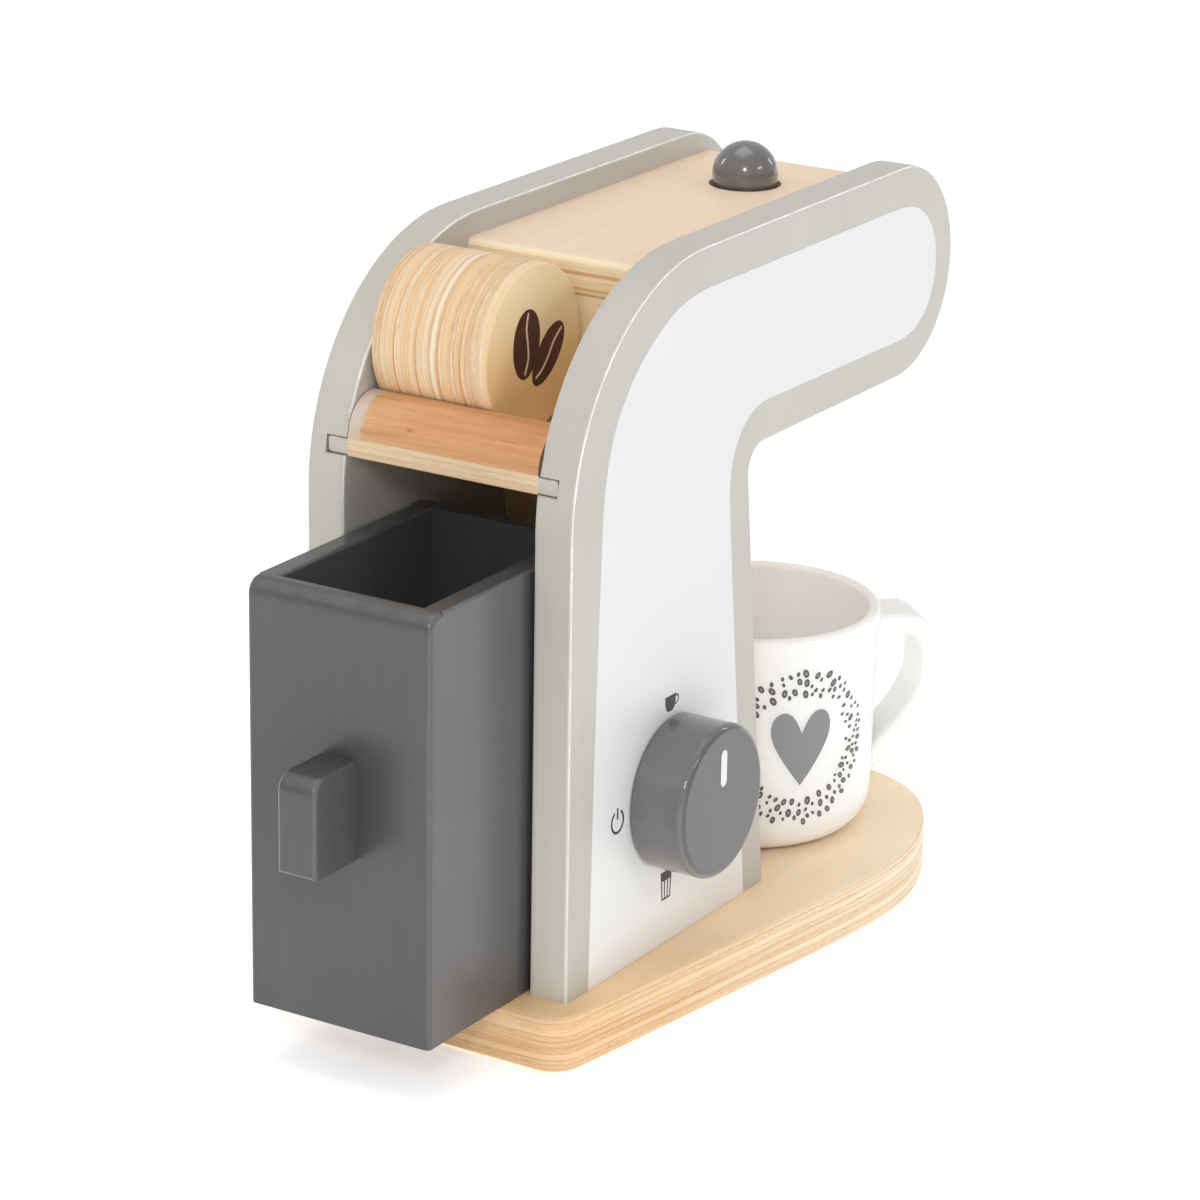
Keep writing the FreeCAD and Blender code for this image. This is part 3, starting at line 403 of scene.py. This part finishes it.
def disc_tail(m, col):
    """Painted shade and warm bounce light as a tone correction for the lamps used here: the disc faces warmer and
    darker low down.
    """
    z = m.math("ADD", m.xyz()[2], mid(m, m.noise(40.0, 2.0, shift=4.0), 8.0))
    flat = m.step(m.nxyz()[1], 0.7, 0.95)
    return m.mix(m.math("MULTIPLY", flat, m.step(z, 172.0, 206.0, 0.8, 0.0)), col, m.mix(1.0, col, lin(238, 208, 172), "MULTIPLY"))


MP["disc"] = ply("disc_ply", 1, -7.9, 28.9, 12, grain=2, seed=21.0, shift=9.0, lines=0.3, cream=lin(239, 214, 181), tan=lin(211, 171, 126),
                 face=(lin(255, 238, 198), lin(255, 226, 178)), contrast=1.4, tail=disc_tail,
                 bands=[(21.65, 22.1, dark_line, 0.95, 0.12), (22.2, 23.2, warm, 0.45, 0.3), (17.5, 18.7, warm, 0.75, 0.25),
                        (14.65, 14.98, dark_line, 0.95, 0.1), (14.98, 15.7, warm, 0.5, 0.2), (12.2, 12.6, lin(214, 180, 140), 0.5, 0.15),
                        (10.2, 10.6, lin(216, 184, 146), 0.5, 0.15), (8.6, 9.8, lin(250, 238, 216), 0.7, 0.3),
                        (7.7, 7.95, dark_line, 0.6, 0.1), (4.2, 6.0, lin(238, 198, 150), 0.7, 0.35),
                        (0.6, 0.88, dark_line, 0.95, 0.1), (0.85, 1.8, warm, 0.55, 0.25), (-3.0, -2.6, lin(216, 184, 146), 0.45, 0.12),
                        (-5.2, -4.9, lin(196, 178, 156), 0.6, 0.1), (-7.7, -6.9, lin(240, 200, 150), 0.6, 0.2)])


def lip_tail(m, col):
    """Grey paint smeared on the far end, a small knot, and a crisp dark seam at both ends."""
    x, y, z = m.xyz()
    w = mid(m, m.noise(240.0, 3.0, 0.6, shift=4.0), 6.0)
    smear = m.step(m.math("ADD", y, w), 25.4, 27.0)
    dx, dy, dz = m.math("ADD", x, 57.0), m.math("SUBTRACT", y, 11.0), m.math("SUBTRACT", z, 168.0)
    r = m.math("SQRT", m.math("ADD", m.math("ADD", m.math("MULTIPLY", dx, dx), m.math("MULTIPLY", m.math("MULTIPLY", dy, dy), 0.3)),
                              m.math("MULTIPLY", dz, dz)))
    col = m.mix(m.step(r, 0.2, 0.9, 0.7, 0.0), col, lin(134, 82, 46))
    col = m.mix(m.math("MULTIPLY", smear, 0.8), col, lin(203, 196, 184))
    patch = m.noise((30.0, 14.0, 30.0), 2.0, 0.5, shift=7.0)
    col = m.mix(m.step(patch, 0.42, 0.7, 0.0, 0.45), col, lin(214, 150, 94))
    col = m.mix(m.step(m.math("ADD", y, w), -26.0, 6.0, 0.75, 0.0), col, m.mix(1.0, col, lin(240, 228, 214), "MULTIPLY"))
    seam = m.step(m.math("ABSOLUTE", y), 30.12, 30.3)
    return m.mix(m.math("MULTIPLY", seam, 0.85), col, lin(84, 62, 46))


MP["lip"] = timber("lip_alder", 1, lin(234, 188, 140), lin(182, 124, 77), lin(142, 90, 52), shift=2.0, tail=lip_tail)
MP["beech"] = timber("beech", 2, lin(230, 198, 158), lin(206, 168, 124), lin(176, 134, 92), shift=6.0, rough0=0.55, coat=0.0)
MP["steel"] = steel("zinc_steel")
MP["ink"] = paint("panel_ink", lin(60, 58, 58), lin(54, 52, 52), lin(68, 66, 66), 2, 0.5, 0.0, 0.3, amp=0.00001, shift=51.0)
MP["heart"] = paint("heart_ink", lin(134, 134, 138), lin(124, 124, 129), lin(144, 144, 148), 2, 0.42, 0.1, 0.3, amp=0.00001, shift=53.0, streaks=0.15)
MP["dotrim"] = paint("dot_ink", lin(84, 82, 82), lin(76, 74, 74), lin(96, 94, 94), 2, 0.45, 0.1, 0.3, amp=0.00001, shift=55.0)
MP["dotmid"] = paint("dot_centre_ink", lin(138, 137, 139), lin(130, 129, 131), lin(148, 147, 149), 2, 0.45, 0.1, 0.3, amp=0.00001, shift=57.0)
MP["bean"] = paint("bean_ink", lin(76, 38, 26), lin(66, 30, 20), lin(90, 46, 32), 0, 0.5, 0.05, 0.3, amp=0.00002, shift=59.0)
MP["crease"] = paint("crease_wood", lin(236, 200, 172), lin(226, 188, 158), lin(242, 210, 184), 2, 0.5, 0.05, 0.3, amp=0.00001, shift=61.0)


def cup_material():
    m = Mat("cup_white")
    a = m.noise(520.0, 4.0, 0.6, 0.6)
    b = m.noise(60.0, 3.0, 0.55, shift=3.0)
    v = m.math("ADD", m.math("MULTIPLY", a, 0.55), m.math("MULTIPLY", b, 0.45))
    col = m.ramp(v, [(0.3, lin(241, 241, 239)), (0.5, lin(245, 245, 243)), (0.7, lin(249, 249, 247))])
    x, y, z = m.xyz()                          # tone correction for the lamps: the inside lighter than the outside
    # Painted light: the inside of the cup lighter than the outside.
    dx, dy = m.math("SUBTRACT", x, 87.5), m.math("ADD", y, 13.2)
    r = m.math("SQRT", m.math("ADD", m.math("MULTIPLY", dx, dx), m.math("MULTIPLY", dy, dy)))
    inside = m.math("MULTIPLY", m.step(r, 34.6, 35.4, 1.0, 0.0), m.step(z, 18.5, 19.5))
    col = m.mix(m.math("MULTIPLY", inside, 0.9), col, lin(255, 255, 254))
    h = m.math("ADD", m.math("MULTIPLY", a, 0.5), m.noise(1400.0, 2.0, shift=5.0))
    mat = m.end(col, m.math("ADD", 0.36, mid(m, b, 0.12)), m.bump(h, 0.00003, 0.45), coat=0.15, coat_rough=0.2)
    m.sh.inputs["Subsurface Weight"].default_value = 0.5
    m.sh.inputs["Subsurface Radius"].default_value = (1.0, 0.95, 0.9)
    m.sh.inputs["Subsurface Scale"].default_value = 0.006
    return mat


MP["cup"] = cup_material()

WEAR = {"base_board": "base", "base_screws": "steel", "left_side_panel": "panel", "right_side_panel": "panel",
        "column_front_board": "column", "shelf_board": "shelf", "retaining_lip": "lip", "top_board": "roof",
        "hopper_front_plate": "plate", "arm_bottom_board": "arm", "arm_front_board": "armfront", "board_dowels": "beech",
        "spout": "spout", "button_guide": "guide", "button_spring": "steel", "bin_back_panel": "bin", "bin_left_wall": "bin",
        "bin_right_wall": "bin", "bin_front_wall": "bin", "bin_floor": "bin", "bin_pull": "bin", "bin_pull_screw": "steel",
        "knob": "dial", "knob_axle": "beech", "knob_washer": "steel", "knob_screw": "steel", "button_dome": "ball",
        "button_stem": "beech", "button_collar": "beech", "cup": "cup"}
for k in range(1, 6):
    WEAR["coffee_disc_%d" % k] = "disc"
for n, o in nodes.items():
    o.data.materials.clear()
    o.data.materials.append(MP[WEAR[n]])


# ------------------------------------------------------------------ thin painted and printed areas
def film(name, body, mat, polys, place, thick, step=None):
    """Closed thin pieces: each polygon (u, v in mm) is given a thickness and laid on its surface by place(u, v, h)."""
    bm = bmesh.new()
    for poly in polys:
        bm.faces.new([bm.verts.new((u, v, 0.0)) for u, v in poly])
    if step:
        us = [v.co.x for v in bm.verts]
        u = math.floor(min(us)) + 0.013
        while u < max(us):
            bmesh.ops.bisect_plane(bm, geom=bm.verts[:] + bm.edges[:] + bm.faces[:], plane_co=(u, 0, 0), plane_no=(1, 0, 0))
            u += step
    got = bmesh.ops.extrude_face_region(bm, geom=bm.faces[:], use_keep_orig=True)
    for g in got["geom"]:
        if isinstance(g, bmesh.types.BMVert):
            g.co.z = thick
    bmesh.ops.triangulate(bm, faces=bm.faces[:], quad_method="BEAUTY", ngon_method="BEAUTY")
    for v in bm.verts:
        v.co = Vector(place(*v.co)) / 1000.0
    bmesh.ops.recalc_face_normals(bm, faces=bm.faces[:])
    me = bpy.data.meshes.new(name)
    bm.to_mesh(me)
    bm.free()
    me.materials.append(mat)
    o = bpy.data.objects.new(name, me)
    bpy.context.scene.collection.objects.link(o)
    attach(o, body)
    return o


def smooth(pts, n=6):
    """Catmull-Rom through open points, n steps a span."""
    q = [pts[0]] + list(pts) + [pts[-1]]
    out = []
    for i in range(len(pts) - 1):
        p0, p1, p2, p3 = q[i], q[i + 1], q[i + 2], q[i + 3]
        for s in range(n):
            t = s / n
            out.append(tuple(0.5 * (2 * p1[k] + (p2[k] - p0[k]) * t + (2 * p0[k] - 5 * p1[k] + 4 * p2[k] - p3[k]) * t * t
                                    + (3 * p1[k] - p0[k] - 3 * p2[k] + p3[k]) * t ** 3) for k in (0, 1)))
    out.append(tuple(pts[-1]))
    return out


def stroke(pts, w):
    """Outline of a line of width w with round ends."""
    left, right = [], []
    for i, p in enumerate(pts):
        a, b = pts[max(i - 1, 0)], pts[min(i + 1, len(pts) - 1)]
        d = Vector((b[0] - a[0], b[1] - a[1])).normalized()
        nx, ny = -d.y * w / 2, d.x * w / 2
        left.append((p[0] + nx, p[1] + ny))
        right.append((p[0] - nx, p[1] - ny))

    def cap(p, q, back):
        c = ((p[0] + q[0]) / 2, (p[1] + q[1]) / 2)
        a0 = math.atan2(p[1] - c[1], p[0] - c[0])
        return [(c[0] + w / 2 * math.cos(a0 - math.pi * k / 6), c[1] + w / 2 * math.sin(a0 - math.pi * k / 6)) for k in range(1, 6)]

    return left + cap(left[-1], right[-1], False) + right[::-1] + cap(right[0], left[0], True)


def near_panel(u, v, h):
    return (u, -42.5 - h, v + T)


def far_panel(u, v, h):
    return (u, 42.5 + h, v + T)


rise = [(-48.9, 3), (-48.2, 36), (-47.4, 72), (-46.3, 104), (-45.4, 126), (-45.15, 133.7), (-44.2, 141.8), (-42.4, 149.6), (-40.0, 156.2),
        (-37.6, 160.4), (-34.4, 164.8), (-30.3, 169.4), (-25.2, 173.8), (-19.6, 177.6), (-13.8, 180.8), (-7.9, 183.1), (-1.0, 184.7), (5.0, 185.3),
        (14.0, 185.4)]
nose = [(104.0, 185.4), (115.5, 185.2), (121.5, 184.6), (127.0, 182.9), (131.7, 180.0), (135.2, 176.2), (137.6, 171.5), (138.5, 166.5), (138.45, 162.0),
        (137.3, 157.4), (135.3, 153.6), (132.7, 150.6), (129.4, 148.2), (124.9, 146.3), (118.4, 145.4), (110.0, 145.4)]
crook = [(48.0, 146.0), (41.0, 146.1), (37.6, 145.8), (34.3, 145.0), (31.5, 143.8), (29.0, 142.2), (26.9, 140.3), (25.0, 137.9), (23.4, 135.2),
         (22.2, 132.1), (21.5, 128.6), (21.2, 124.6), (21.3, 120.5), (21.9, 115.0)]
face_line = [(-49.0, 0.12)] + smooth(rise) + smooth(nose) + smooth(crook) + [(34.7, 0.12)]
film("white_face_dial_side", "frame", MP["white"], [face_line], near_panel, 0.07)
film("white_face_plain_side", "frame", MP["white"], [face_line], far_panel, 0.07)


def on_white(u, v, h):
    return (u, -42.56 - h, v + T)


# small marks round the dial: a cup above, a power sign behind, a slotted tumbler below
cup_mark = [(-11.3, 73.4), (-5.5, 73.4), (-5.8, 71.0), (-6.4, 69.6), (-7.4, 68.8), (-9.5, 68.8), (-10.5, 69.6), (-11.1, 71.0)]
ear_mark = stroke(smooth([(-5.6, 72.7), (-4.7, 72.6), (-4.2, 71.9), (-4.5, 71.0), (-5.3, 70.4), (-6.0, 70.3)], 4), 0.5)
power_mark = [stroke([(-35.2 + 3.0 * math.cos(math.radians(a)), 45.0 + 3.2 * math.sin(math.radians(a))) for a in range(-236, 57, 8)], 0.75),
              stroke([(-35.2, 45.9), (-35.2, 47.3), (-35.2, 48.7)], 0.75)]
tw, bw, zt, zb = 2.95, 2.25, 21.7, 13.2


def tumbler(s, z):
    """x across the tumbler: s from -1 to 1 at height z."""
    return -8.75 + s * (bw + (tw - bw) * (z - zb) / (zt - zb))


def slab(s0, s1, z0, z1):
    return [(tumbler(s0, z0), z0), (tumbler(s1, z0), z0), (tumbler(s1, z1), z1), (tumbler(s0, z1), z1)]


tumbler_mark = [slab(-1, 1, 18.9, zt), slab(-1, 1, zb, 13.75)] + [slab(a, b, 13.75, 18.9) for a, b in
                                                                  ((-1, -0.78), (-0.42, -0.20), (0.20, 0.42), (0.78, 1))]
film("dial_marks", "frame", MP["ink"], [cup_mark, ear_mark] + power_mark + tumbler_mark, on_white, 0.04)


# white pointer on the dial face
def on_dial(u, v, h):
    return (-7.3 + u, -59.4 - h + 0.02, 61.4 + v)


pill = []
for k in range(13):
    a = math.radians(180 - 15 * k)
    pill.append((1.55 * math.cos(a), 13.6 + 1.55 * math.sin(a)))
for k in range(13):
    a = math.radians(-15 * k)
    pill.append((1.55 * math.cos(a), 6.1 + 1.55 * math.sin(a)))
film("dial_pointer", "dial", MP["white"], [pill], on_dial, 0.07)


# coil under the ball; on the real toy it shortens as the ball goes down
def coil(name, cx, z0, z1, rad, wire, turns):
    me = bpy.data.meshes.new(name)
    n, k = int(turns * 36), 10
    pitch = (z1 - z0 - 2 * wire) / (2 * math.pi * turns)
    lean = math.atan2(pitch, rad)
    bm = bmesh.new()
    rings = []
    for i in range(n + 1):
        a = 2 * math.pi * turns * i / n
        out, up = Vector((math.cos(a), math.sin(a), 0)), Vector((math.sin(a) * math.sin(lean), -math.cos(a) * math.sin(lean), math.cos(lean)))
        c = out * rad + Vector((cx, 0, z0 + wire + pitch * a))
        rings.append([bm.verts.new((c + out * wire * math.cos(2 * math.pi * j / k) + up * wire * math.sin(2 * math.pi * j / k)) / 1000.0)
                      for j in range(k)])
    for r, q in zip(rings, rings[1:]):
        for j in range(k):
            bm.faces.new((r[j], r[(j + 1) % k], q[(j + 1) % k], q[j]))
    bm.faces.new(rings[0][::-1])
    bm.faces.new(rings[-1])
    bmesh.ops.recalc_face_normals(bm, faces=bm.faces[:])
    for f in bm.faces:
        f.smooth = len(f.verts) == 4
    bm.to_mesh(me)
    bm.free()
    me.materials.append(MP["steel"])
    o = bpy.data.objects.new(name, me)
    scene_root.objects.link(o)
    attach(o, "frame")
    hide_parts("button_spring")
    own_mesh(o)
    return o


scene_root = bpy.context.scene.collection
coil("spring_coil", 99.0, T + 173.15, T + 184.35, 6.2, 0.45, 4.5)


# two beans on the front disc
def on_disc(lift):
    return lambda u, v, h: (u, -7.9 - h - lift, v + T)


def bean(cx, cz, a, b, lean):
    out = []
    for k in range(40):
        t = 2 * math.pi * k / 40
        u, v = a * math.cos(t) * (1.0 + 0.05 * math.sin(t)), b * math.sin(t)
        out.append((cx + u * math.cos(lean) - v * math.sin(lean), cz + u * math.sin(lean) + v * math.cos(lean)))
    return out


film("bean_left", "disc_5", MP["bean"], [bean(-29.4, 172.3, 6.5, 9.6, math.radians(-7))], on_disc(0.0), 0.05)
film("bean_right", "disc_5", MP["bean"], [bean(-18.6, 167.4, 5.2, 10.0, math.radians(-44))], on_disc(0.0), 0.04)
film("bean_creases", "disc_5", MP["crease"],
     [stroke(smooth([(-28.7, 180.6), (-29.5, 176.6), (-28.8, 172.4), (-28.5, 168.2), (-30.0, 164.2)], 5), 0.78),
      stroke(smooth([(-12.3, 173.3), (-16.0, 170.2), (-18.8, 166.4), (-21.6, 163.6), (-24.4, 162.0)], 5), 0.78)], on_disc(0.05), 0.03)

# heart and ring of dots on the cup
CX, CY, AZ, ZC, RC = 87.5, -13.2, math.radians(-126.0), 34.5, 36.9
cup_me = nodes["cup"].data
cup_tree = BVHTree.FromPolygons([v.co.copy() for v in cup_me.vertices], [tuple(p.vertices) for p in cup_me.polygons])


def on_cup(lift):
    def place(u, v, h):
        a = AZ + u / RC
        z = T + ZC + v
        c, s = math.cos(a), math.sin(a)
        hit = cup_tree.ray_cast(Vector(((CX + 60 * c) / 1000, (CY + 60 * s) / 1000, z / 1000)), Vector((-c, -s, 0)))[0]
        r = math.hypot(hit.x * 1000 - CX, hit.y * 1000 - CY) if hit else RC
        return (CX + (r + h + lift) * c, CY + (r + h + lift) * s, z)
    return place


half = smooth([(0.0, -11.6), (2.0, -8.9), (4.4, -5.5), (6.6, -2.0), (8.4, 1.4), (9.4, 4.6), (9.3, 7.9), (7.9, 10.4), (5.6, 11.4), (3.3, 10.4), (1.5, 7.9), (0.0, 4.6)], 5)
heart = half + [(-u, v) for u, v in half[-2:0:-1]]
film("cup_heart", "cup", MP["heart"], [heart], on_cup(-0.03), 0.08, step=1.0)

rng = random.Random(417)
dots = []
tries = 0
while len(dots) < 146 and tries < 40000:
    tries += 1
    r, a = rng.uniform(16.4, 23.4), rng.uniform(0, 2 * math.pi)
    big = rng.random()
    size = 0.92 + 0.24 * rng.random() if big > 0.42 else 0.5 + 0.22 * rng.random()
    u, v = r * math.cos(a), r * math.sin(a)
    if all(math.hypot(u - p[0], v - p[1]) > size + p[2] + 0.38 for p in dots):
        dots.append((u, v, size, a))


def oval(u, v, s, a, k0):
    out = []
    for k in range(14):
        t = 2 * math.pi * k / 14
        x, y = s * k0 * 1.2 * math.cos(t), s * k0 * 0.82 * math.sin(t)
        out.append((u + x * math.cos(a) - y * math.sin(a), v + x * math.sin(a) + y * math.cos(a)))
    return out


film("cup_dots", "cup", MP["dotrim"], [oval(u, v, s, a + rng.uniform(-0.5, 0.5), 1.0) for u, v, s, a in dots], on_cup(-0.02), 0.06)
film("cup_dot_centres", "cup", MP["dotmid"], [oval(u, v, s, a, 0.42) for u, v, s, a in dots if s > 0.7], on_cup(0.02), 0.04)

# ------------------------------------------------------------------ floor, light, camera
scene = bpy.context.scene
scene.view_settings.view_transform = "Standard"
scene.view_settings.look = "None"

bm = bmesh.new()
for k in range(64):
    a = 2 * math.pi * k / 64
    bm.verts.new((40.0 * math.cos(a), 40.0 * math.sin(a), -0.0004))
bm.verts.ensure_lookup_table()
bm.faces.new(bm.verts)
me = bpy.data.meshes.new("floor")
bm.to_mesh(me)
bm.free()
floor = bpy.data.objects.new("floor", me)
scene.collection.objects.link(floor)
fm = Mat("floor_white")
me.materials.append(fm.end(fm.ramp(fm.noise(3.0, 2.0), [(0.0, lin(250, 250, 250)), (1.0, lin(253, 253, 253))]), 0.9, spec=0.1))
fm.sh.inputs["Emission Color"].default_value = (1.0, 1.0, 1.0, 1.0)
fm.sh.inputs["Emission Strength"].default_value = 0.42

world = bpy.data.worlds.new("studio")
scene.world = world
world.use_nodes = True
bg = world.node_tree.nodes.get("Background") or world.node_tree.nodes.new("ShaderNodeBackground")
bg.inputs[0].default_value = (1.0, 1.0, 1.0, 1.0)
bg.inputs[1].default_value = 0.66


def soft(name, at, aim, size, power, color=(1, 1, 1)):
    d = bpy.data.lights.new(name, "AREA")
    d.shape = "RECTANGLE"
    d.size, d.size_y = size
    d.energy = power
    d.color = color
    o = bpy.data.objects.new(name, d)
    scene.collection.objects.link(o)
    o.location = at
    o.rotation_euler = (Vector(aim) - Vector(at)).to_track_quat("-Z", "Y").to_euler()
    return o


soft("key", (-1.3, -0.75, 1.0), (0.0, 0.0, 0.1), (0.30, 0.30), 5.4)
soft("front", (0.05, -1.65, 1.0), (0.0, 0.0, 0.15), (0.45, 0.16), 2.3)
soft("right", (1.34, -0.71, 0.68), (0.0, 0.0, 0.2), (0.08, 0.35), 0.9)
soft("left", (-0.28, 1.42, 0.88), (0.0, 0.0, 0.2), (0.09, 0.4), 1.3)
soft("top", (0.1, 0.2, 1.9), (0.03, 0.0, 0.0), (1.2, 1.2), 7.2)

th, el, roll = math.radians(31.695751), math.radians(18.950852), math.radians(0.932177)
fw = Vector((math.cos(th) * math.cos(el), math.sin(th) * math.cos(el), -math.sin(el)))
r0 = fw.cross(Vector((0, 0, 1))).normalized()
u0 = r0.cross(fw)
R = math.cos(roll) * r0 + math.sin(roll) * u0
U = -math.sin(roll) * r0 + math.cos(roll) * u0
cam_data = bpy.data.cameras.new("camera")
cam_data.sensor_fit = "HORIZONTAL"
cam_data.sensor_width = 36.0
cam_data.lens = 4474.949 * 36.0 / 1200.0
cam_data.clip_start = 0.05
cam_data.clip_end = 50.0
cam = bpy.data.objects.new("camera", cam_data)
scene.collection.objects.link(cam)
place = Matrix((R, U, -fw)).transposed().to_4x4()
place.translation = Vector((-0.998554, -0.630733, 0.512081))
cam.matrix_world = place
scene.camera = cam
